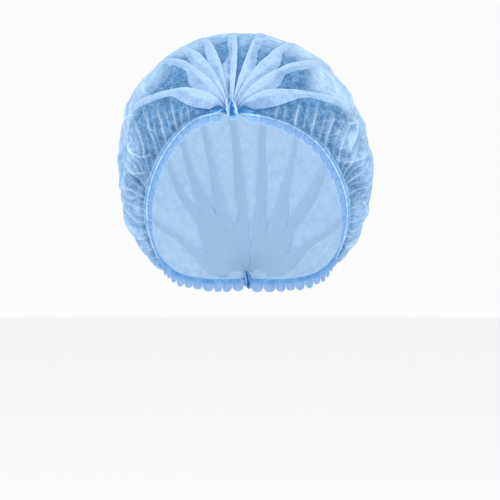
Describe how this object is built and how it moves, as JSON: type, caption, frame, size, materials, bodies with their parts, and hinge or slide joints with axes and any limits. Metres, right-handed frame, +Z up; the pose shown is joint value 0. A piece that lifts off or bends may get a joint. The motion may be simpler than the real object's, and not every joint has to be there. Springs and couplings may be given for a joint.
{
  "type": "disposable hairnet",
  "caption": "Pleated nonwoven bouffant cap with an elastic hem, a short scalloped ruffle and a gathered knot at the forehead and nape.",
  "frame": {"origin": "the inside of the crown's highest point, where the top of the wearer's head carries it", "axes": "+Z up, the wearer faces -Y, +X is the wearer's left"},
  "size_m": [0.1846, 0.2059, 0.1892],
  "materials": {
    "nonwoven": "thin matte spunbond nonwoven, pale blue, see-through in one layer",
    "hem_welt": "nonwoven folded and sewn over a round elastic, matte",
    "hem_ruffle": "free edge of the nonwoven, gathered into small scallops",
    "gathered_knot": "many layers of the nonwoven pressed together, deep blue"
  },
  "bodies": {
    "root": {"crown": "nonwoven", "hem_band_left": "hem_welt", "hem_band_right": "hem_welt", "ruffle_left": "hem_ruffle", "ruffle_right": "hem_ruffle", "front_knot": "gathered_knot", "rear_knot": "gathered_knot"}
  },
  "joints": []
}
